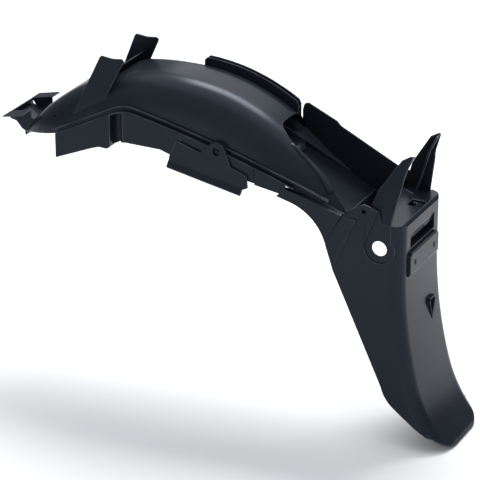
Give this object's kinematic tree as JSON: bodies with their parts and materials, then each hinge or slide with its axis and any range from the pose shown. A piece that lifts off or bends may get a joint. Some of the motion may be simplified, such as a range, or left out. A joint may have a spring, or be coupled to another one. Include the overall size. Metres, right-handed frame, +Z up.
{
  "type": "rear mudguard",
  "caption": "Scooter rear mudguard moulded in one piece: arched hood with side skirts and a long hollow tail that carries a number-plate pad.",
  "frame": {"origin": "middle of the cross bore through the two side walls of the tail", "axes": "+X to the rear of the vehicle, +Y to its right along the bore, +Z up"},
  "size_m": [0.7754, 0.172, 0.538],
  "materials": {
    "moulded_polypropylene": "moulded, satin with a fine grain"
  },
  "bodies": {
    "root": {"rear_mudguard": "moulded_polypropylene"}
  },
  "joints": []
}
